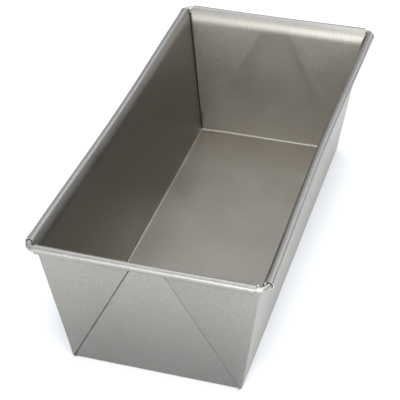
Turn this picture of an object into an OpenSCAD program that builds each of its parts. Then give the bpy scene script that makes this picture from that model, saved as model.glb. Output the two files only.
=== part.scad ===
// Loaf pan: one sheet, cut and folded into a tapered box, with its rim rolled over a steel wire.
// The origin is at the middle of the base, on the table. +Z is up and the length runs along Y.

/* [Pan] */
// Length over the rolled rim
rim_len = 254; // [150:1:400]
// Width over the rolled rim
rim_w = 116.5; // [80:0.5:200]
// Height from the table to the top of the rim
pan_h = 76; // [50:1:120]
// Taper of all four walls from the vertical, in degrees
wall_taper = 8.4; // [3:0.1:14]

/* [Sheet] */
// Thickness of the coated steel sheet
sheet_t = 0.4; // [0.35:0.05:0.8]
// Inner radius of the bend between the floor and each wall
bend_r = 1; // [0.5:0.1:3]

/* [Rim] */
// Diameter of the wire inside the rim
wire_d = 3; // [2:0.1:4]
// Radial gap between the wire and the sheet rolled round it
wire_gap = 0.05; // [0.05:0.05:0.2]
// Radius of the wire's corner bends, to the middle of the wire
wire_bend_r = 4; // [3:0.5:8]
// Gap between the two ends of the wire
wire_butt = 0.4; // [0.2:0.1:1]
// Radius of the gentle flare that leads each wall out to the rim
flare_r = 15; // [12:1:40]
// How far the flare leads a side wall out, square to the wall
flare_out = 1.2; // [0.5:0.1:3]
// Angle at which the rolled edge ends under the wire, measured down from level
curl_end = 100; // [60:5:115]
// Gap along the wire between the end of a roll and the start of the wire's bend
curl_stop = 0.4; // [0.2:0.1:2]
// Gap under the wire where the sheet is notched at the corners
notch_gap = 0.2; // [0.1:0.1:1]

/* [Folded corners] */
// Gap between two layers of a folded corner
fold_gap = 0.1; // [0.05:0.05:0.2]
// Angle by which a folded ear falls short of its full half web, in degrees
ear_relief = 2; // [0:0.5:4]
// Gap between the top of an ear and the underside of the rim
ear_top_gap = 0.2; // [0.1:0.1:2]
// Width of the slit between an end wall and a side wall at the floor
slit_w = 0.15; // [0.1:0.05:0.4]
// Angle by which that slit opens towards the rim, in degrees
slit_lean = 0.25; // [0:0.05:0.6]

/* [Hidden] */
$fn = 96;

// Distance from one layer of the fold to the next
layer = sheet_t + fold_gap;
// The roll round the wire: middle of the sheet, and outside
curl_mid_r = wire_d / 2 + wire_gap + sheet_t / 2;
curl_out_r = curl_mid_r + sheet_t / 2;
// The middle of the wire
wire_x = rim_w / 2 - curl_out_r;
wire_y = rim_len / 2 - curl_out_r;
wire_z = pan_h - curl_out_r;
// The rolls stop this far short of the point where the wire's two middle lines would cross
curl_cut = wire_bend_r + curl_stop;
// The sheet stops at this height in the notched corners, and the ears at this one
notch_z = wire_z - wire_d / 2 - notch_gap;
ear_top_z = wire_z - curl_out_r - ear_top_gap;
// The end walls stand further in than the side walls, by the two layers folded over them
end_flare_out = flare_out + 2 * layer;
// Height of the bends' centres above the table
bend_z = sheet_t + bend_r;
// Lean of the corner edges in the plane of a wall, and the ear's free edge measured from the bottom edge
corner_lean = atan(sin(wall_taper));
ear_angle = 45 - corner_lean - ear_relief;
free_edge_angle = 90 + corner_lean - ear_angle;
// Larger than the pan in every direction
reach = rim_len + rim_w;
// Flat steps that stand in for the bends of the sheet
bend_steps = 8;
flare_steps = 8;
curl_steps = 32;

// A wall's section lies in a plane (u, z): u runs outwards from the middle of the pan. A wall is named by
// its wire's distance from the middle, the flare's lead out, and k, which counts the layers outwards.
side_wall = [wire_x, flare_out, 0];
end_wall = [wire_y, end_flare_out, 0];
inner_ear_layer = [wire_y, end_flare_out, 1];
outer_ear_layer = [wire_y, end_flare_out, 2];

function roll_start(wall) = 180 - wall_taper - acos(1 - wall[1] / (flare_r - curl_mid_r));
function flare_centre(wall) =
    [wall[0], wire_z] - (flare_r - curl_mid_r) * [cos(roll_start(wall)), sin(roll_start(wall))];
function flare_mid_r(wall) = flare_r - wall[2] * layer;
function flare_foot(wall) = flare_centre(wall) + flare_mid_r(wall) * [-cos(wall_taper), sin(wall_taper)];
// Where the middle of the straight wall would meet the table
function wall_foot(wall) = flare_foot(wall)[0] - flare_foot(wall)[1] * tan(wall_taper);
// Centre of the bend at the floor
function bend_centre(wall) =
    [wall_foot(wall) + bend_z * tan(wall_taper) - (bend_r + sheet_t / 2) / cos(wall_taper), bend_z];

// Points along an arc, end points included
function arc(centre, r, a0, a1, steps) =
    [for (i = [0:steps]) let (a = a0 + (a1 - a0) * i / steps) centre + r * [cos(a), sin(a)]];
function reversed(points) = [for (i = [len(points) - 1:-1:0]) points[i]];
// One face of each stretch, shift outwards from the middle of the sheet
function bend_face(wall, shift) =
    arc(bend_centre(wall), bend_r + sheet_t / 2 + shift, -90, -wall_taper, bend_steps);
function flare_face(wall, shift) =
    arc(flare_centre(wall), flare_mid_r(wall) - shift, 180 - wall_taper, roll_start(wall), flare_steps);
function curl_face(wall, shift) =
    arc([wall[0], wire_z], curl_mid_r + shift, roll_start(wall), -curl_end, curl_steps);

// The bottom corner of the ears, on the outer face of the side wall
ear_foot_x = wall_foot(side_wall) + sheet_t / 2 / cos(wall_taper);

// The bend at the floor, then the straight wall and its flare
module wall_section(wall) {
    outer = concat(bend_face(wall, sheet_t / 2), flare_face(wall, sheet_t / 2));
    inner = concat(bend_face(wall, -sheet_t / 2), flare_face(wall, -sheet_t / 2));
    polygon(concat(outer, reversed(inner)));
}

// The roll round the wire
module curl_section(wall) {
    polygon(concat(curl_face(wall, sheet_t / 2), reversed(curl_face(wall, -sheet_t / 2))));
}

// A layer folded over the outside of an end wall, or the gap on its inner side
module layer_section(wall, from = -sheet_t / 2, to = sheet_t / 2) {
    lean = [cos(wall_taper), -sin(wall_taper)];
    foot = bend_centre(wall) + (bend_r + sheet_t / 2) * lean;
    outer = concat([foot + to * lean], flare_face(wall, to));
    inner = concat([foot + from * lean], flare_face(wall, from));
    polygon(concat(outer, reversed(inner)));
}

// All that lies inside one face of a wall, from the table up
module inside_section(wall, shift) {
    face = concat(bend_face(wall, shift), flare_face(wall, shift));
    top = face[len(face) - 1];
    polygon(concat([[-1, 0]], face, [[top[0], pan_h + 1], [-1, pan_h + 1]]));
}

// Draws a section twice, once on each side of the middle
module both_sides() {
    children();
    mirror([1, 0]) children();
}

// Runs a section along the length, or across the width
module along_length(length = reach) {
    rotate([90, 0, 0]) linear_extrude(length, center = true) children();
}

module across_width(width = reach) {
    rotate([90, 0, 90]) linear_extrude(width, center = true) children();
}

// Everything inside the outer faces of the side walls, and inside those of the ears
module side_envelope() { along_length() both_sides() inside_section(side_wall, sheet_t / 2); }
module end_envelope() { across_width() both_sides() inside_section(outer_ear_layer, sheet_t / 2); }

// The space left for the end walls between the side walls, less the slits; inset narrows it further
module between_sides(inset = 0) {
    along_length() both_sides() {
        translate([-slit_w - inset, 0]) rotate(slit_lean) inside_section(side_wall, -sheet_t / 2);
        translate([-1, 0]) square([bend_centre(side_wall)[0] + 1 - inset, sheet_t]);
    }
}

module floor_plate() {
    half_w = bend_centre(side_wall)[0];
    half_len = bend_centre(end_wall)[0];
    translate([-half_w, -half_len, 0]) cube([2 * half_w, 2 * half_len, sheet_t]);
}

module side_walls() {
    intersection() {
        along_length() both_sides() wall_section(side_wall);
        end_envelope();
    }
    along_length(2 * (wire_y - curl_cut)) both_sides() curl_section(side_wall);
}

module end_walls() {
    intersection() {
        across_width() both_sides() wall_section(end_wall);
        between_sides();
    }
    across_width(2 * (wire_x - curl_cut)) both_sides() curl_section(end_wall);
}

// Seen from the end: everything outboard of the ears' free edges, or only a band of the given width there
module ear_outline(band = reach) {
    slope = tan(free_edge_angle) * cos(wall_taper);
    top_x = ear_foot_x - ear_top_z / slope;
    along_length() both_sides()
        polygon([[ear_foot_x, 0], [ear_foot_x + band, 0], [top_x + band, ear_top_z], [top_x, ear_top_z]]);
}

// Two layers over each corner of the end walls, joined along the free edge and hemmed to the end wall
module ears() {
    intersection() {
        across_width() both_sides() layer_section(outer_ear_layer);
        ear_outline();
        side_envelope();
    }
    intersection() {
        across_width() both_sides() layer_section(inner_ear_layer);
        ear_outline();
        between_sides();
    }
    // The fold along the free edge
    intersection() {
        across_width() both_sides() layer_section(outer_ear_layer, -layer, 0);
        ear_outline(sheet_t);
        side_envelope();
    }
    // The hem beside the side wall
    intersection() {
        across_width() both_sides() layer_section(inner_ear_layer, -layer, 0);
        ear_outline();
        difference() {
            between_sides();
            between_sides(sheet_t);
        }
    }
}

// The sheet stops under the wire's bends
module corner_notches() {
    for (x = [-1, 1], y = [-1, 1])
        translate([x * (wire_x + curl_cut), y * (wire_y + curl_cut), notch_z + pan_h / 2])
            cube([4 * curl_cut, 4 * curl_cut, pan_h], center = true);
}

module folded_sheet() {
    color("#a3a49e") difference() {
        union() {
            floor_plate();
            side_walls();
            end_walls();
            ears();
        }
        corner_notches();
    }
}

module wire_run(length) { cylinder(d = wire_d, h = length, center = true); }

module rim_wire() {
    run_x = 2 * (wire_x - wire_bend_r);
    run_y = 2 * (wire_y - wire_bend_r);
    color("#b4b4ae") translate([0, 0, wire_z]) difference() {
        union() {
            for (side = [-1, 1]) {
                translate([0, side * wire_y, 0]) rotate([0, 90, 0]) wire_run(run_x);
                translate([side * wire_x, 0, 0]) rotate([90, 0, 0]) wire_run(run_y);
            }
            for (mx = [0, 1], my = [0, 1])
                mirror([mx, 0, 0]) mirror([0, my, 0])
                    translate([run_x / 2, run_y / 2, 0])
                        rotate_extrude(angle = 90) translate([wire_bend_r, 0]) circle(d = wire_d);
        }
        // The two ends of the wire meet in the middle of one long side
        translate([-wire_x, 0, 0]) cube([2 * wire_d, wire_butt, 2 * wire_d], center = true);
    }
}

folded_sheet();
rim_wire();
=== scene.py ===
# %% [markdown]
# A loaf pan, folded from one sheet of coated steel. The sheet is cut, its four walls are bent up,
# the corner webs are folded flat over the two end walls as triangular ears, and the top edge is
# rolled over a steel wire. Nothing is welded, so the folds and the roll are all there is to see.
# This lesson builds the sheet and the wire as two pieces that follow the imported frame.

# %% Load the frame
import math

import bmesh
import bpy
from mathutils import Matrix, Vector


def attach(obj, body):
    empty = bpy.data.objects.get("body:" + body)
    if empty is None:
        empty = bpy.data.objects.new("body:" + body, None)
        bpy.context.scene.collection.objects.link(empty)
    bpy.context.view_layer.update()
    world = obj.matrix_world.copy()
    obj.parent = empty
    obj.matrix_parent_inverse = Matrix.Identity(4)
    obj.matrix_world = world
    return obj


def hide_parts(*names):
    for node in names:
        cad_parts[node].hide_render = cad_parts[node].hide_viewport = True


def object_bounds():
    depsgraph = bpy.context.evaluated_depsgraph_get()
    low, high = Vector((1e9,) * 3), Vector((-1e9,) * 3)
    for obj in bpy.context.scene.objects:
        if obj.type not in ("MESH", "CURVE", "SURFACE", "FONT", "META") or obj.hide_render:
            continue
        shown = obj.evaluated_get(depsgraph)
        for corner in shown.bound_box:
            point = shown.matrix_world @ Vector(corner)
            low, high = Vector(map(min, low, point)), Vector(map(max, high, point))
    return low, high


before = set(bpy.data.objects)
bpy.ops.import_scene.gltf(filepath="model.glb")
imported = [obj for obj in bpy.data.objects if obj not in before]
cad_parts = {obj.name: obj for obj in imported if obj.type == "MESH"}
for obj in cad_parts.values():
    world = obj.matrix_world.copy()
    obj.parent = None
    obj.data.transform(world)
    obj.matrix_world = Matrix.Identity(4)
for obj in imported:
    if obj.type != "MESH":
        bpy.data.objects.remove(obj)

cad_box = [list(corner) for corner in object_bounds()]
print("frame box in metres:", cad_box)

# %% [markdown]
# The camera comes first, because every later choice is judged through it. It looks down on one
# end of the pan from a little to its right, from far enough away that the far end is only
# slightly smaller. A long lens does that without distorting the rim.

# %% Camera
MM = 0.001


def aim(thing, at):
    """Turns a camera or a light so that it looks at a point."""
    thing.rotation_euler = (Vector(at) - thing.location).to_track_quat("-Z", "Y").to_euler()


view_azimuth = math.radians(16.503)
view_elevation = math.radians(34.775)
view_distance = 705.384 * MM
view_target = Vector((-5.909, -16.511, 38.0)) * MM
view_back = Vector((
    math.sin(view_azimuth) * math.cos(view_elevation),
    -math.cos(view_azimuth) * math.cos(view_elevation),
    math.sin(view_elevation),
))
camera = bpy.data.objects.new("camera", bpy.data.cameras.new("camera"))
bpy.context.scene.collection.objects.link(camera)
camera.location = view_target + view_distance * view_back
camera.data.sensor_width = 36
camera.data.lens = 121.22
aim(camera, view_target)
bpy.context.scene.camera = camera
print("camera at", [round(c, 4) for c in camera.location])

# %% [markdown]
# These are the pan's own sizes, in metres. The outside comes from the frame. The rest are a
# sheet worker's numbers: how thick the sheet is, how far the walls lean, and how tightly the
# sheet is bent round the wire. Two tolerances tell points apart and merge those that meet.

# %% Sizes of the pan
SHEET = 0.4 * MM
FOLD_GAP = 0.1 * MM
LAYER = SHEET + FOLD_GAP
TAPER = math.radians(8.4)
FLOOR_BEND = 1.0 * MM + SHEET / 2
WIRE = 1.5 * MM
WIRE_GAP = 0.05 * MM
ROLL = WIRE + WIRE_GAP + SHEET / 2
FLARE = 15 * MM
LEAD_OUT = 1.2 * MM
ROLL_END = math.radians(-100)
WIRE_BEND = 4 * MM
ROLL_STOP = WIRE_BEND + 0.4 * MM
SAME_PLACE = 0.001 * MM
MERGE = 0.01 * MM
wire_x, wire_y, wire_z = [edge - ROLL - SHEET / 2 for edge in cad_box[1]]
print("wire runs at", round(wire_x, 5), round(wire_y, 5), round(wire_z, 5))

# %% [markdown]
# Seen from its end, each wall has the same section: a small bend at the floor, a straight wall
# that leans outwards, a gentle flare, and the roll round the wire. A wall knows where its middle
# layer lies at any height. The ears add two more layers outside the end walls, so those walls
# stand further in from their wire.

# %% Section of a wall


class Wall:
    def __init__(self, wire_at, lead_out):
        self.wire_at = wire_at
        self.roll_start = math.pi - TAPER - math.acos(1 - lead_out / (FLARE - ROLL))
        self.flare_u = wire_at - (FLARE - ROLL) * math.cos(self.roll_start)
        self.flare_z = wire_z - (FLARE - ROLL) * math.sin(self.roll_start)
        self.flare_foot_z = self.flare_z + FLARE * math.sin(TAPER)
        self.foot = self.flare_u - FLARE * math.cos(TAPER) - self.flare_foot_z * math.tan(TAPER)
        self.bend_z = SHEET / 2 + FLOOR_BEND
        self.bend_u = self.foot + self.bend_z * math.tan(TAPER) - FLOOR_BEND / math.cos(TAPER)
        self.straight_z = self.bend_z - FLOOR_BEND * math.sin(TAPER)

    def at(self, z):
        """Distance of the sheet's middle from the middle of the pan at a height."""
        if z < self.straight_z:
            return self.bend_u + math.sqrt(max(0, FLOOR_BEND ** 2 - (self.bend_z - z) ** 2))
        if z < self.flare_foot_z:
            return self.foot + z * math.tan(TAPER)
        return self.flare_u - math.sqrt(FLARE ** 2 - (z - self.flare_z) ** 2)

    def layer_out(self, z, count):
        """How much further out a layer folded over this wall lies at a height."""
        radius = FLARE - count * LAYER
        if z < self.flare_z + radius * math.sin(TAPER):
            return count * LAYER / math.cos(TAPER)
        return self.flare_u - math.sqrt(radius ** 2 - (z - self.flare_z) ** 2) - self.at(z)


side = Wall(wire_x, LEAD_OUT)
end = Wall(wire_y, LEAD_OUT + 2 * LAYER)
print("side wall foot", round(side.foot, 5), "end wall foot", round(end.foot, 5))

# %% [markdown]
# A level cut through a corner shows how the pan is made. The side wall turns the corner and runs
# back over the end wall as the outer half of an ear. At the ear's free edge it doubles under
# itself, runs out to the corner again, and doubles once more to become the end wall. One line
# describes all of it, so the sheet is drawn as that line at one height and then extruded ring by
# ring, up to the rim and down to the floor. Each ring only moves and resizes parts of the one
# before it. This cell says where the free edge and the slit beside the side wall run.

# %% Where the folds run
EAR_TOP_GAP = 0.2 * MM
EAR_TOP = wire_z - ROLL - SHEET / 2 - EAR_TOP_GAP
RIM_FOOT = wire_z - 0.9 * MM
FULL_FOLD = 2.9 * MM
LEAST_FOLD = 0.02
CORNER_BEND = 1.0 * MM
CORNER_BEND_AT_FLOOR = 0.2
EAR_RELIEF = math.radians(2)
SLIT = 0.15 * MM
SLIT_LEAN = math.tan(math.radians(0.25))
FREE_EDGE_FOOT = side.foot + SHEET / 2 / math.cos(TAPER)
corner_lean = math.atan(math.sin(TAPER))
ear_angle = math.pi / 4 - EAR_RELIEF - corner_lean
FREE_EDGE_SLOPE = 1 / (math.tan(math.pi / 2 + corner_lean - ear_angle) * math.cos(TAPER))
print("ear angle in degrees:", round(math.degrees(ear_angle), 2))

# %% [markdown]
# The ears press on what is under them. The end wall stands slightly proud between the two free
# edges, with a soft step beside each, and the thick little knot at the foot of each folded
# corner bulges outwards. Both are a fraction of a millimetre, but a satin finish shows them.

# %% The line of the sheet at one height
WALL_BULGE = 0.15 * MM
FOOT_BULGE = 0.5 * MM
FOOT_BULGE_TOP = 6 * MM
PRINT_STEP = 1 * MM
PRINT_REACH = 3 * MM


def parts_at(z, end_roll_share=0.0):
    """Middle (x, y) and half size (x, y) of each part of the line at a height."""
    fold = min(1, max(LEAST_FOLD, (z - SHEET / 2) / (FULL_FOLD - SHEET / 2)))
    up_foot = min(1, max(0, (z - SHEET / 2) / FOOT_BULGE_TOP))
    x = side.at(z)
    y = end.at(z)
    outer = y + end.layer_out(z, 2) * fold + FOOT_BULGE * math.sin(math.pi * up_foot ** 0.5)
    inner = y + end.layer_out(z, 1) * fold
    bend = CORNER_BEND
    if z < side.straight_z:
        round_bend = (x - side.bend_u) / (side.at(side.straight_z) - side.bend_u)
        bend *= CORNER_BEND_AT_FLOOR + (1 - CORNER_BEND_AT_FLOOR) * round_bend
    free_edge = FREE_EDGE_FOOT - z * FREE_EDGE_SLOPE + SHEET / 2 + LAYER / 2
    slit_edge = x - SHEET / math.cos(TAPER) - SLIT - z * SLIT_LEAN - LAYER / 2
    if fold < 1:
        free_edge = x - bend
        slit_edge = x - bend
    bulge = WALL_BULGE * math.sin(math.pi * min(1, z / wire_z) ** 1.6) ** 1.2
    room = min(1, (slit_edge - free_edge) / (2 * PRINT_REACH))
    print_x = free_edge + PRINT_REACH * room
    return {
        "side": (x, 0, 1, outer - bend),
        "corner": (x - bend, outer - bend, bend, bend),
        "free_edge": (free_edge, (outer + inner) / 2, LAYER / 2 * fold, (outer - inner) / 2),
        "hem": (slit_edge, (inner + y) / 2, LAYER / 2 * fold, (inner - y) / 2),
        "roll_stop": (slit_edge - (slit_edge - print_x) * end_roll_share, y, 1, 1),
        "print_a": (print_x, y, 1, 1),
        "print_b": (free_edge + PRINT_STEP * room, y + 0.2 * bulge, 1, 1),
        "print_c": (free_edge - PRINT_STEP * room, y + 0.8 * bulge, 1, 1),
        "end": (0, y + bulge, free_edge - PRINT_REACH * room, 1),
    }


top = parts_at(RIM_FOOT)
SIDE_ROLL_SHARE = (wire_y - ROLL_STOP) / top["side"][3]
END_ROLL_SHARE = (top["hem"][0] - (wire_x - ROLL_STOP)) / (top["hem"][0] - top["print_a"][0])
print("the rolls stop at shares", round(SIDE_ROLL_SHARE, 4), round(END_ROLL_SHARE, 4))

# %% [markdown]
# Edit-mode operators act on whatever is selected, so each step starts by saying what that is.
# These helpers deselect everything, or select the points, edges or faces that a test accepts.

# %% Helpers for working in edit mode


def start_clean():
    """Leaves edit mode with nothing selected."""
    if bpy.context.object and bpy.context.object.mode != "OBJECT":
        bpy.ops.object.mode_set(mode="OBJECT")
    bpy.ops.object.select_all(action="DESELECT")


def pick(obj, wanted, mode="VERT"):
    """Selects, in edit mode, the vertices, edges or faces that a test accepts."""
    mesh = bmesh.from_edit_mesh(obj.data)
    bpy.context.tool_settings.mesh_select_mode = (mode == "VERT", mode == "EDGE", mode == "FACE")
    kinds = {"VERT": mesh.verts, "EDGE": mesh.edges, "FACE": mesh.faces}
    chosen = [item for item in kinds[mode] if wanted(item)]
    for kind in kinds.values():
        for item in kind:
            item.select = False
    for item in chosen:
        item.select_set(True)
    mesh.select_mode = {mode}
    mesh.select_flush_mode()
    bmesh.update_edit_mesh(obj.data)
    return len(chosen)


start_clean()
print("selected to start with:", len(bpy.context.selected_objects))

# %% [markdown]
# The line is drawn half way up, where no part of the fold is crowded. A grid one cell wide gives
# the run along the side wall, once its other column of points is deleted. The last stretch of
# that run, past the roll's end, is drawn on with an extrusion.

# %% Draw the run along the side wall
START_Z = 40 * MM
SIDE_STEPS = 16
start = parts_at(START_Z, END_ROLL_SHARE)
side_x, _, _, side_end = start["side"]
bpy.ops.mesh.primitive_grid_add(x_subdivisions=1, y_subdivisions=SIDE_STEPS, size=1)
sheet = bpy.context.object
sheet.name = "folded_coated_sheet"
bpy.ops.object.mode_set(mode="EDIT")
pick(sheet, lambda v: v.co.x < 0)
bpy.ops.mesh.delete(type="VERT")
bpy.ops.mesh.select_all(action="SELECT")
bpy.ops.transform.translate(value=(side_x - 0.5, 0.5, START_Z))
bpy.ops.transform.resize(value=(1, side_end * SIDE_ROLL_SHARE, 1), center_override=(0, 0, 0))
print("tip points:", pick(sheet, lambda v: v.co.y > side_end * SIDE_ROLL_SHARE - SAME_PLACE))


def draw_to(x, y):
    """Extrudes the picked tip of the line to a place."""
    mesh = bmesh.from_edit_mesh(sheet.data)
    tip = next(v.co.copy() for v in mesh.verts if v.select)
    bpy.ops.mesh.extrude_region_move(TRANSFORM_OT_translate={"value": (x - tip.x, y - tip.y, 0)})


draw_to(side_x, side_end)

# %% [markdown]
# The corner and the two doublings are spins of the last point, as a brake would turn the sheet,
# and the straight runs between them are extrusions.

# %% Draw the corner, the ear and the end wall
CORNER_STEPS = 6
FOLD_STEPS = 4
END_STEPS = 4


def turn_round(part, angle, steps):
    """Spins the picked tip of the line round the middle of a part."""
    x, y, _, _ = start[part]
    bpy.ops.mesh.spin(steps=steps, angle=angle, center=(x, y, START_Z), axis=(0, 0, 1))


turn_round("corner", -math.pi / 2, CORNER_STEPS)
draw_to(start["free_edge"][0], start["free_edge"][1] + start["free_edge"][3])
turn_round("free_edge", -math.pi, FOLD_STEPS)
draw_to(start["hem"][0], start["hem"][1] + start["hem"][3])
turn_round("hem", math.pi, FOLD_STEPS)
for part in ("roll_stop", "print_a", "print_b", "print_c"):
    draw_to(start[part][0], start[part][1])
for step in range(END_STEPS + 1):
    draw_to(start["end"][2] * (1 - step / END_STEPS), start["end"][1])
print("points on the line:", len(bmesh.from_edit_mesh(sheet.data).verts))

# %% [markdown]
# Every point of the line gets a column number, which extrusion hands on to the next ring, and a
# row number for the ring it is in. With those two numbers any part of any ring can be picked.

# %% Number the columns
COUNTS = {"side": SIDE_STEPS + 2, "corner": CORNER_STEPS, "free_edge": FOLD_STEPS + 1,
          "hem": FOLD_STEPS + 1, "roll_stop": 1, "print_a": 1, "print_b": 1, "print_c": 1,
          "end": END_STEPS + 1}
mesh = bmesh.from_edit_mesh(sheet.data)
mesh.verts.layers.int.new("column")
mesh.verts.layers.int.new("row")


def numbers():
    """The layers that hold each point's column and row."""
    layers = bmesh.from_edit_mesh(sheet.data).verts.layers.int
    return layers["column"], layers["row"]


column = numbers()[0]
point = min(mesh.verts, key=lambda v: v.co.y + abs(v.co.x - side_x))
before = None
number = 0
while point:
    point[column] = number
    number += 1
    onward = [e.other_vert(point) for e in point.link_edges if e.other_vert(point) is not before]
    before, point = point, (onward[0] if onward else None)
bmesh.update_edit_mesh(sheet.data)
columns = {}
first = 0
for part, count in COUNTS.items():
    columns[part] = range(first, first + count)
    first += count
print("columns on the line:", number, "expected", first)

# %% [markdown]
# A new ring is the old one extruded straight up or down, and then each of its parts is moved and
# resized to where the walls and folds are at the new height. The next ring is made from that.

# %% Helpers for the rings


def pick_ring(row_number, wanted):
    """Selects the points of one ring that lie in some columns."""
    column, row = numbers()
    return pick(sheet, lambda v: v[row] == row_number and v[column] in wanted)


def next_ring(from_row, new_row, from_z, new_z, parts=tuple(COUNTS)):
    """Extrudes a ring, or some parts of it, to a new height and fits each part to it."""
    pick_ring(from_row, [n for part in parts for n in columns[part]])
    bpy.ops.mesh.extrude_region_move(TRANSFORM_OT_translate={"value": (0, 0, new_z - from_z)})
    row = numbers()[1]
    for v in bmesh.from_edit_mesh(sheet.data).verts:
        if v.select:
            v[row] = new_row
    bmesh.update_edit_mesh(sheet.data)
    old, new = parts_at(from_z, END_ROLL_SHARE), parts_at(new_z, END_ROLL_SHARE)
    for part in parts:
        x, y, size_x, size_y = old[part]
        new_x, new_y, new_size_x, new_size_y = new[part]
        pick_ring(new_row, columns[part])
        stretch = (new_size_x / size_x, new_size_y / size_y, 1)
        bpy.ops.transform.resize(value=stretch, center_override=(x, y, new_z))
        bpy.ops.transform.translate(value=(new_x - x, new_y - y, 0))


print("parts of a ring:", ", ".join(COUNTS))

# %% [markdown]
# The ears stop just under the rim, so above them the side wall and the end wall go on as two
# separate strips. That leaves the ears with a cut top edge, as on the real pan.

# %% Raise the walls
heights = [z * MM for z in (48, 56, 62, 67, 68.2, 69.4, 70.6)] + [EAR_TOP]
z = START_Z
row_number = 0
for height in heights:
    next_ring(row_number, row_number + 1, z, height)
    row_number += 1
    z = height
for height in (EAR_TOP + 0.6 * MM, RIM_FOOT):
    next_ring(row_number, row_number + 1, z, height, ("side", "corner"))
    next_ring(row_number, row_number + 1, z, height,
              ("hem", "roll_stop", "print_a", "print_b", "print_c", "end"))
    row_number += 1
    z = height
TOP_ROW = row_number
print("rings up to the rim:", TOP_ROW)

# %% [markdown]
# Towards the floor the rings come closer together. The fold dies away over the last few
# millimetres, and the rings in the bend at the floor are spaced evenly round it.

# %% Lower the walls to the floor
BEND_ANGLES = (22, 36, 50, 63, 77, 90)
heights = [z * MM for z in (30, 20, 12, 7, 4.5)] + [FULL_FOLD, 2.1 * MM, side.straight_z]
heights += [side.bend_z - FLOOR_BEND * math.sin(math.radians(angle)) for angle in BEND_ANGLES]
z = START_Z
row_number = 0
for height in heights:
    next_ring(row_number, row_number - 1, z, height)
    row_number -= 1
    z = height
BOTTOM_ROW = row_number
FLOOR_Z = z
print("rings down to the floor:", -BOTTOM_ROW, "lowest", FLOOR_Z)

# %% [markdown]
# Above the ears only the walls go on: they lead out along the flare and then roll round the wire
# for two thirds of a turn. Both are spins of the top edge, the first round the far centre of the
# flare and the second round the wire. The rolls stop short of each corner, because a sheet can't
# be rolled round a bent wire, and that leaves the wire's elbow bare. The flare runs on one column
# further than the roll, so that no gap opens beside the roll's end.

# %% Roll the rim
FLARE_STEPS = 3
ROLL_STEPS = 28


def roll_rim(roll_columns, beside, wall, axis, centre):
    """Spins the top edge of a wall along its flare, then short of the corner round the wire."""
    pick_ring(TOP_ROW, [*roll_columns, beside])
    now = math.pi - math.acos((wall.flare_u - wall.at(RIM_FOOT)) / FLARE)
    flare_at = centre(wall.flare_u, wall.flare_z)
    flare_turn = wall.roll_start - now
    bpy.ops.mesh.spin(steps=FLARE_STEPS, angle=flare_turn, center=flare_at, axis=axis)
    column = numbers()[0]
    found = pick(sheet, lambda v: v.select and v[column] in roll_columns)
    wire_at = centre(wall.wire_at, wire_z)
    roll_turn = ROLL_END - wall.roll_start
    bpy.ops.mesh.spin(steps=ROLL_STEPS, angle=roll_turn, center=wire_at, axis=axis)
    return found


side_run = columns["side"][:-1]
end_run = range(columns["roll_stop"][0], number)
side_found = roll_rim(side_run, columns["side"][-1], side, (0, 1, 0), lambda u, z: (u, 0, z))
end_found = roll_rim(end_run, columns["hem"][-1], end, (-1, 0, 0), lambda u, z: (0, u, z))
print("rim points rolled:", side_found, "on the side,", end_found, "on the end")

# %% [markdown]
# A roll springs open a little where it ends, so a dark gap shows between the sheet and the wire
# at each corner. The column of points at each roll's end is resized away from the wire.

# %% Open the ends of the rolls
SPRUNG = 1.18
ROLL_REACH = 1.1 * ROLL


def open_roll_end(last_column, across, middle):
    """Widens the end of a roll round the wire."""
    column = numbers()[0]
    middle = Vector(middle)

    def on_roll(v):
        off = v.co - middle
        return v[column] == last_column and math.hypot(off.x if across else off.y, off.z) < ROLL_REACH

    found = pick(sheet, on_roll)
    wider = (SPRUNG, 1, SPRUNG) if across else (1, SPRUNG, SPRUNG)
    bpy.ops.transform.resize(value=wider, center_override=middle)
    return found


side_found = open_roll_end(side_run[-1], True, (wire_x, wire_y - ROLL_STOP, wire_z))
end_found = open_roll_end(end_run[0], False, (wire_x - ROLL_STOP, wire_y, wire_z))
print("points opened:", side_found, "on the side,", end_found, "on the end")

# %% [markdown]
# The floor closes the bottom ring. A quarter of the pan is now complete, and two mirrors make
# the rest, because the sheet is the same at all four corners. The four quarters of the floor are
# then dissolved into one flat face and inset, to keep the shading of the bends beside it in a
# narrow border. At the corners that border is wider than the tiny folds it follows, so it
# crosses itself there: a few specks of face are turned over, and a thin streak shows from below.
# A narrower border is the first thing to try. The wider merge closes the fold, whose layers come
# together at the floor.

# %% Lay the floor and mirror the quarter
FLOOR_BORDER = 2 * MM
FOLD_MERGE = 0.03 * MM


def on_floor(co):
    return co.z < FLOOR_Z + SAME_PLACE


def add_modifier(obj, kind, **settings):
    """Adds a modifier with its settings and applies it."""
    bpy.context.view_layer.objects.active = obj
    modifier = obj.modifiers.new(kind.lower(), kind)
    for name, value in settings.items():
        setattr(modifier, name, value)
    bpy.ops.object.modifier_apply(modifier=modifier.name)


pick_ring(BOTTOM_ROW, [0])
to_middle = -parts_at(FLOOR_Z)["side"][0]
bpy.ops.mesh.extrude_region_move(TRANSFORM_OT_translate={"value": (to_middle, 0, 0)})
pick(sheet, lambda v: on_floor(v.co) and v.co.x < SAME_PLACE)
bpy.ops.mesh.edge_face_add()
bpy.ops.mesh.select_all(action="SELECT")
bpy.ops.mesh.remove_doubles(threshold=FOLD_MERGE)
pick(sheet, lambda v: on_floor(v.co))
bpy.ops.mesh.edge_face_add()
bpy.ops.mesh.select_all(action="SELECT")
bpy.ops.mesh.normals_make_consistent(inside=False)
start_clean()
sheet.select_set(True)
add_modifier(sheet, "MIRROR", use_axis=(True, True, False), merge_threshold=MERGE)
bpy.ops.object.mode_set(mode="EDIT")
pick(sheet, lambda f: on_floor(f.calc_center_median()), "FACE")
bpy.ops.mesh.dissolve_faces()
bpy.ops.mesh.inset(thickness=FLOOR_BORDER, depth=0)
bpy.ops.object.mode_set(mode="OBJECT")
print("sheet before thickness:", len(sheet.data.vertices), "points")

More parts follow.
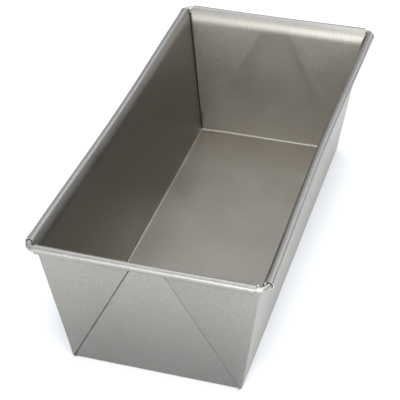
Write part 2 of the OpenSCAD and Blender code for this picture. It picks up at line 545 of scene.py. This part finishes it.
# %% [markdown]
# The long walls are held only at their corners, so on a used pan they stand a little closer
# together in the middle than at the ends. The wire goes with them. This is a smooth change of
# the whole piece, so it is one formula on the points.

# %% Bow of the long walls
BOW = 1.45 * MM
BOW_RISE = 1.5


def bow(obj):
    """Draws the long sides in, most at the rim half way along."""
    for v in obj.data.vertices:
        along = math.cos(math.pi / 2 * min(1, abs(v.co.y) / wire_y)) ** 2
        v.co.x *= 1 - BOW / wire_x * along * max(0, v.co.z / wire_z) ** BOW_RISE


bow(sheet)
half_width = max(v.co.x for v in sheet.data.vertices if abs(v.co.y) < 1 * MM)
print("width half way along, before thickness:", round(2 * half_width, 5))

# %% [markdown]
# So far the sheet has no thickness. Solidify gives it one, half to each side, and puts a second
# material on the rim it makes, which is the sheet's cut edge.

# %% Thickness of the sheet
SHEET_SMOOTH = math.radians(28)


def smooth(obj, angle):
    """Shades a piece smooth, apart from edges sharper than an angle."""
    start_clean()
    obj.select_set(True)
    bpy.context.view_layer.objects.active = obj
    bpy.ops.object.shade_smooth_by_angle(angle=angle)


def measure(obj):
    """Prints a piece's faces, open edges and volume."""
    shape = bmesh.new()
    shape.from_mesh(obj.data)
    open_edges = sum(1 for edge in shape.edges if len(edge.link_faces) != 2)
    volume = round(shape.calc_volume(signed=True) / MM ** 3, 1)
    shape.free()
    print(obj.name, len(obj.data.polygons), "faces,", open_edges, "open edges,", volume, "mm3")


coated = bpy.data.materials.new("satin_coated_steel")
cut_edge = bpy.data.materials.new("cut_edge_painted_highlight")
sheet.data.materials.append(coated)
sheet.data.materials.append(cut_edge)
add_modifier(sheet, "SOLIDIFY", thickness=SHEET, offset=0, material_offset_rim=1)
smooth(sheet, SHEET_SMOOTH)
measure(sheet)

# %% [markdown]
# The wire is a bright drawn steel wire bent into one long loop. A circle is extruded along half
# of a long side, spun round the elbow and extruded along half of an end, and two mirrors
# complete the loop. The long side is extruded in steps, so that it can bow with the sheet.

# %% Bend the wire
RUN_STEPS = 16
ELBOW_STEPS = 12
start_clean()
bpy.ops.mesh.primitive_circle_add(vertices=20, radius=WIRE, location=(0, 0, 0))
wire = bpy.context.object
wire.name = "bent_rim_wire"
bpy.ops.object.mode_set(mode="EDIT")
pick(wire, lambda v: True)
bpy.ops.transform.rotate(value=math.pi / 2, orient_axis="X", center_override=(0, 0, 0))
bpy.ops.transform.translate(value=(wire_x, 0, wire_z))
run_step = (0, (wire_y - WIRE_BEND) / RUN_STEPS, 0)
for step in range(RUN_STEPS):
    bpy.ops.mesh.extrude_region_move(TRANSFORM_OT_translate={"value": run_step})
elbow = (wire_x - WIRE_BEND, wire_y - WIRE_BEND, wire_z)
bpy.ops.mesh.spin(steps=ELBOW_STEPS, angle=-math.pi / 2, center=elbow, axis=(0, 0, 1))
bpy.ops.mesh.extrude_region_move(TRANSFORM_OT_translate={"value": (WIRE_BEND - wire_x, 0, 0)})
bpy.ops.mesh.select_all(action="SELECT")
bpy.ops.mesh.remove_doubles(threshold=MERGE)
bpy.ops.mesh.normals_make_consistent(inside=False)
bpy.ops.object.mode_set(mode="OBJECT")
add_modifier(wire, "MIRROR", use_axis=(True, True, False), merge_threshold=MERGE)
print("wire before it is cut:", len(wire.data.polygons), "faces")

# %% [markdown]
# The wire is cut from a coil, so it has two ends. They meet in the middle of one long side,
# inside the roll. Two bisects cut the loop there, the short stretch between them is deleted, and
# a flat face closes each end.

# %% Cut the butt of the wire
BUTT_HALF = 0.2 * MM
NEAR_BUTT = 20 * MM
WIRE_SMOOTH = math.radians(40)


def in_butt(face, reach):
    middle = face.calc_center_median()
    return middle.x < 0 and abs(middle.y) < reach


bpy.ops.object.mode_set(mode="EDIT")
for cut_y in (BUTT_HALF, -BUTT_HALF):
    pick(wire, lambda f: in_butt(f, NEAR_BUTT), "FACE")
    bpy.ops.mesh.bisect(plane_co=(0, cut_y, 0), plane_no=(0, 1, 0))
pick(wire, lambda f: in_butt(f, BUTT_HALF), "FACE")
bpy.ops.mesh.delete(type="FACE")
for cut_y in (BUTT_HALF, -BUTT_HALF):
    pick(wire, lambda v: v.co.x < 0 and abs(v.co.y - cut_y) < MERGE)
    bpy.ops.mesh.edge_face_add()
bpy.ops.mesh.select_all(action="SELECT")
bpy.ops.mesh.normals_make_consistent(inside=False)
bpy.ops.object.mode_set(mode="OBJECT")
bow(wire)
smooth(wire, WIRE_SMOOTH)
measure(wire)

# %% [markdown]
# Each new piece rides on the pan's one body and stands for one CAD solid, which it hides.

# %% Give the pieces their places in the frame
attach(sheet, "root")
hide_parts("folded_sheet")
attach(wire, "root")
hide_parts("rim_wire")
print("pieces placed:", sheet.name, wire.name)

# %% [markdown]
# Shader maths reads best as arithmetic, so a small class wraps a socket and gives it operators.
# Any other node comes from one method that sets the node's own options first and then its
# sockets.

# %% Shader helper


class Shade:
    """A value in a material's node tree."""

    def __init__(self, tree, socket):
        self.tree = tree
        self.socket = socket

    def node(self, kind, options=None, output=0, **sockets):
        made = add_node(self.tree, kind, options, **sockets)
        return Shade(self.tree, made.outputs[output])

    def maths(self, operation, a, b=0.0):
        return self.node("ShaderNodeMath", {"operation": operation}, i0=a, i1=b)

    def __add__(self, other):
        return self.maths("ADD", self, other)

    def __sub__(self, other):
        return self.maths("SUBTRACT", self, other)

    def __mul__(self, other):
        return self.maths("MULTIPLY", self, other)

    def __pow__(self, other):
        return self.maths("POWER", self, other)

    def __abs__(self):
        return self.maths("ABSOLUTE", self)

    def __rsub__(self, other):
        return self.maths("SUBTRACT", other, self)

    __radd__ = __add__
    __rmul__ = __mul__


def put(tree, socket, value):
    """Links a Shade to a socket, or sets a plain value on it."""
    if isinstance(value, Shade):
        tree.links.new(value.socket, socket)
    elif isinstance(value, tuple) and len(value) == 3 and len(socket.default_value) == 4:
        socket.default_value = (*value, 1)
    else:
        socket.default_value = value


def add_node(tree, kind, options=None, **sockets):
    """Adds a node: options first, then sockets by name, or by number as i0, i1 and so on."""
    made = tree.nodes.new(kind)
    for name, value in (options or {}).items():
        setattr(made, name, value)
    for name, value in sockets.items():
        if name[0] == "i" and name[1:].isdigit():
            put(tree, made.inputs[int(name[1:])], value)
        else:
            put(tree, made.inputs[name.replace("_", " ")], value)
    return made


print("operators on a Shade: + - * ** abs")

# %% [markdown]
# Four more helpers name what the materials do again and again: make noise, blend two colours,
# bring a value into a range with soft ends, and turn a height into a bumped normal. Two others
# begin and end a material.

# %% Helpers for the materials


def begin_material(material):
    """Clears a material and returns its node tree and Object coordinates."""
    material.use_nodes = True
    tree = material.node_tree
    tree.nodes.clear()
    coordinates = add_node(tree, "ShaderNodeTexCoord")
    return tree, Shade(tree, coordinates.outputs["Object"])


def noise(place, scale, detail=2.0, roughness=0.5):
    """Noise whose grains are 1 / scale metres wide."""
    return place.node("ShaderNodeTexNoise", {"noise_dimensions": "3D"}, Vector=place,
                      Scale=scale, Detail=detail, Roughness=roughness)


def blend_colours(share, a, b, blend="MIX"):
    """Blends colour b into colour a by a share."""
    return share.node("ShaderNodeMix", {"data_type": "RGBA", "blend_type": blend}, output=2,
                      i0=share, i6=a, i7=b)


def ramp(value, low, high):
    """Brings a value between two limits to 0 and 1, with soft ends."""
    return value.node("ShaderNodeMapRange", {"interpolation_type": "SMOOTHSTEP"},
                      i0=value, i1=low, i2=high)


def bumped(height, strength, distance):
    """The surface's normal, bumped by a height."""
    return height.node("ShaderNodeBump", Strength=strength, Distance=distance, Height=height)


def end_material(tree, **sockets):
    """Ends a material with one Principled shader."""
    shader = add_node(tree, "ShaderNodeBsdfPrincipled", **sockets)
    output = add_node(tree, "ShaderNodeOutputMaterial")
    tree.links.new(shader.outputs[0], output.inputs[0])
    print("nodes in the material:", len(tree.nodes))


print("materials to finish:", len(sheet.data.materials) + 1, "and the floor's")

# %% [markdown]
# The sheet is steel with a thin satin coating the colour of pewter. Close up it has a very fine
# grain, and its tone drifts a little from place to place. Two noises of very different size make
# the two, because one noise can't do both.

# %% Coated sheet
tree, place = begin_material(coated)
grain = noise(place, 2200, 2.0, 0.6)
cloud = noise(place, 28, 3.0, 0.55)
tone = ramp(cloud, 0.3, 0.7)
speckle = ramp(grain, 0.35, 0.65)
PEWTER = (0.285, 0.260, 0.221)
PALE_PEWTER = (0.315, 0.289, 0.248)
BRIGHT_GRAIN = (0.395, 0.364, 0.316)
base = blend_colours(speckle, blend_colours(tone, PEWTER, PALE_PEWTER), BRIGHT_GRAIN)
print("nodes so far:", len(tree.nodes))

# %% [markdown]
# Several painted marks of shade and reflection depend on which face of which wall a point is on. The
# walls' own formulas say that: a point's distance past the middle of the side wall or of the end wall
# is below zero on the inside and above zero on the outside.

# %% Distances past the walls
split = add_node(tree, "ShaderNodeSeparateXYZ", Vector=place)
x, y, z = [Shade(tree, output) for output in split.outputs]
up_flare = z.maths("MAXIMUM", z - end.flare_foot_z)
flare_curve = 0.5 / (FLARE * math.cos(TAPER) ** 3)
end_wall = z * math.tan(TAPER) + end.foot + up_flare * up_flare * flare_curve
past_end = abs(y) - end_wall
along = 0.5 + 0.5 * y.maths("COSINE", y * (math.pi / wire_y))
bowed = along * (z * (1 / wire_z)) ** BOW_RISE
side_wall = (z * math.tan(TAPER) + side.foot) * (1 - bowed * (BOW / wire_x))
past_side = abs(x) - side_wall
on_end_outside = ramp(past_end, 0, 0.1 * MM)
on_end_inside = (1 - on_end_outside) * ramp(past_end, -2 * MM, -1 * MM)
outside = ramp(past_side, -0.1 * MM, 0.1 * MM)
outside = outside.maths("MAXIMUM", outside, ramp(past_end, -0.1 * MM, 0.1 * MM))
print("nodes so far:", len(tree.nodes))

# %% [markdown]
# Two tones on the pan are painted light. Inside, the long walls are painted darker and warmer, as
# painted shade. Outside, the coating is tinted cooler, as a painted cool reflection, and each end
# wall is painted darker towards its foot, as painted shade.

# %% Painted shade and reflection
PAINTED_COOL_REFLECTION = (0.96, 0.99, 1.05)
PAINTED_SIDE_SHADE = (0.15, 0.135, 0.11)
PAINTED_FOOT_SHADE = (0.125, 0.128, 0.126)
# Painted cool reflection: the outside faces are tinted cooler.
base = blend_colours(outside, base, PAINTED_COOL_REFLECTION, "MULTIPLY")
# Painted shade: the inside of the long walls is darkened and warmed.
painted_side_shade = ramp(past_side, -1 * MM, -0.6 * MM) * (1 - outside) * ramp(z, 1 * MM, 5 * MM)
base = blend_colours(painted_side_shade * 0.45, base, PAINTED_SIDE_SHADE)
# Painted shade: each end wall is darkened outside towards its foot.
lower = on_end_outside * (1 - ramp(z, 2 * MM, 74 * MM))
base = blend_colours(lower * 0.48, base, PAINTED_FOOT_SHADE)
print("nodes so far:", len(tree.nodes))

# %% [markdown]
# The ears leave two marks of painted shade on the end walls. Outside, a dark line of painted shade
# lies in the crease along each free edge, and the coating is rougher there. Inside, the wall is
# painted darker between the two free edges, as painted shade, and stays lighter where the ears back
# it. Both marks follow the free edge, so both are worked out from the distance to that line.

# %% Painted shade beside the ears
PAINTED_MIDDLE_SHADE = (0.215, 0.197, 0.168)
PAINTED_CREASE_SHADE = (0.08, 0.076, 0.068)
from_edge = abs(x) + z * FREE_EDGE_SLOPE - FREE_EDGE_FOOT
wander = noise(place, 220) * 0.5 * MM
# Painted shade: a dark line in the crease along each free edge, outside.
painted_crease_shade = 1 - ramp(abs(from_edge - 0.1 * MM) + wander, 0.35 * MM, 0.85 * MM)
painted_crease_shade = painted_crease_shade * ramp(past_end, 0.05 * MM, 0.15 * MM) * (1 - ramp(z, EAR_TOP - 1 * MM, EAR_TOP))
# Painted shade: the inside of the end wall is darker between the ears.
painted_shade_between_ears = (1 - ramp(from_edge, -1.5 * MM, 1.5 * MM)) * on_end_inside
painted_shade_between_ears = painted_shade_between_ears * ramp(z, 12 * MM, 55 * MM) * (1 - ramp(z, 66 * MM, 70 * MM))
base = blend_colours(painted_shade_between_ears * 0.46, base, PAINTED_MIDDLE_SHADE)
base = blend_colours(painted_crease_shade * 0.88, base, PAINTED_CREASE_SHADE)
end_material(tree, Base_Color=base, Metallic=1.0, Normal=bumped(grain, 0.45, 0.06 * MM),
             Roughness=0.36 + 0.06 * tone + 0.06 * speckle + 0.15 * painted_crease_shade)

# %% [markdown]
# Where the sheet was sheared, its edge is painted lighter than the coating, as a thin painted
# highlight. Shearing leaves fine streaks, so its roughness follows a fine noise.

# %% Cut edge with a painted highlight
tree, place = begin_material(cut_edge)
streak = noise(place, 1500)
# Painted highlight: the cut edge is coloured lighter than the coating.
edge_base = blend_colours(streak, (0.50, 0.50, 0.48), (0.62, 0.62, 0.60))
end_material(tree, Base_Color=edge_base, Metallic=1.0, Roughness=0.30 + 0.1 * streak,
             Normal=bumped(streak, 0.2, 0.05 * MM))

# %% [markdown]
# The wire is drawn steel, smoother and plainer than the coating. It shows only at the four
# elbows, where baking has dulled it a little.

# %% Drawn steel wire
drawn = bpy.data.materials.new("drawn_steel_wire")
wire.data.materials.append(drawn)
tree, place = begin_material(drawn)
streak = noise(place, 900, 3.0)
wire_base = blend_colours(streak, (0.33, 0.31, 0.275), (0.45, 0.43, 0.385))
end_material(tree, Base_Color=wire_base, Metallic=1.0, Roughness=0.36 + 0.12 * streak,
             Normal=bumped(streak, 0.3, 0.05 * MM))

# %% [markdown]
# The pan stands on a plain pale floor. The floor lies a hair under the pan's base, because two
# faces in exactly the same place speckle where they meet.

# %% Floor
start_clean()
bpy.ops.mesh.primitive_plane_add(size=6, location=(0, 0, -0.02 * MM))
floor = bpy.context.object
floor.name = "studio_floor"
floor.data.materials.append(bpy.data.materials.new("studio_floor"))
tree, place = begin_material(floor.data.materials[0])
cloth_tone = blend_colours(noise(place, 3), (0.93, 0.92, 0.895), (0.94, 0.93, 0.905))
end_material(tree, Base_Color=cloth_tone, Metallic=0.0, Roughness=0.9)
print("floor size:", tuple(floor.dimensions))

# %% [markdown]
# Soft light comes from all round, from an even sky and a few large softboxes. Metal shows what
# it mirrors, so the size of the lights matters more than their number. The front one lights the
# near wall, the top and strip ones draw the long highlights on the rolls, and two weak ones on
# the right reach the inside of the left wall.

# %% Light and sky
COOL_WHITE = (0.95, 1.0, 1.07)
world = bpy.data.worlds.new("sky")
bpy.context.scene.world = world
world.use_nodes = True
sky = world.node_tree.nodes["Background"]
sky.inputs["Color"].default_value = (*COOL_WHITE, 1)
sky.inputs["Strength"].default_value = 0.70


def softbox(name, place, at, width, height, power):
    """Adds a rectangular area light that looks at a point."""
    light = bpy.data.objects.new(name, bpy.data.lights.new(name, "AREA"))
    bpy.context.scene.collection.objects.link(light)
    light.data.shape = "RECTANGLE"
    light.data.size = width
    light.data.size_y = height
    light.data.energy = power
    light.data.color = COOL_WHITE
    light.location = place
    aim(light, at)


softbox("front_softbox", (0.2, -1.3, 0.5), (0, 0, 0.05), 1.2, 0.6, 15)
softbox("top_softbox", (0.0, 0.45, 1.5), (0, 0, 0), 1.4, 1.0, 10)
softbox("strip_softbox", (0.25, -0.65, 1.4), (0, -0.12, 0.07), 0.6, 0.5, 8.5)
softbox("back_right_softbox", (0.6, 1.1, 0.85), (0, 0, 0), 0.4, 0.3, 2)
softbox("right_softbox", (1.6, 0.0, 0.3), (0, 0, 0), 0.8, 0.4, 2)
bpy.context.scene.view_settings.view_transform = "Standard"
print("lights:", len(bpy.data.lights))
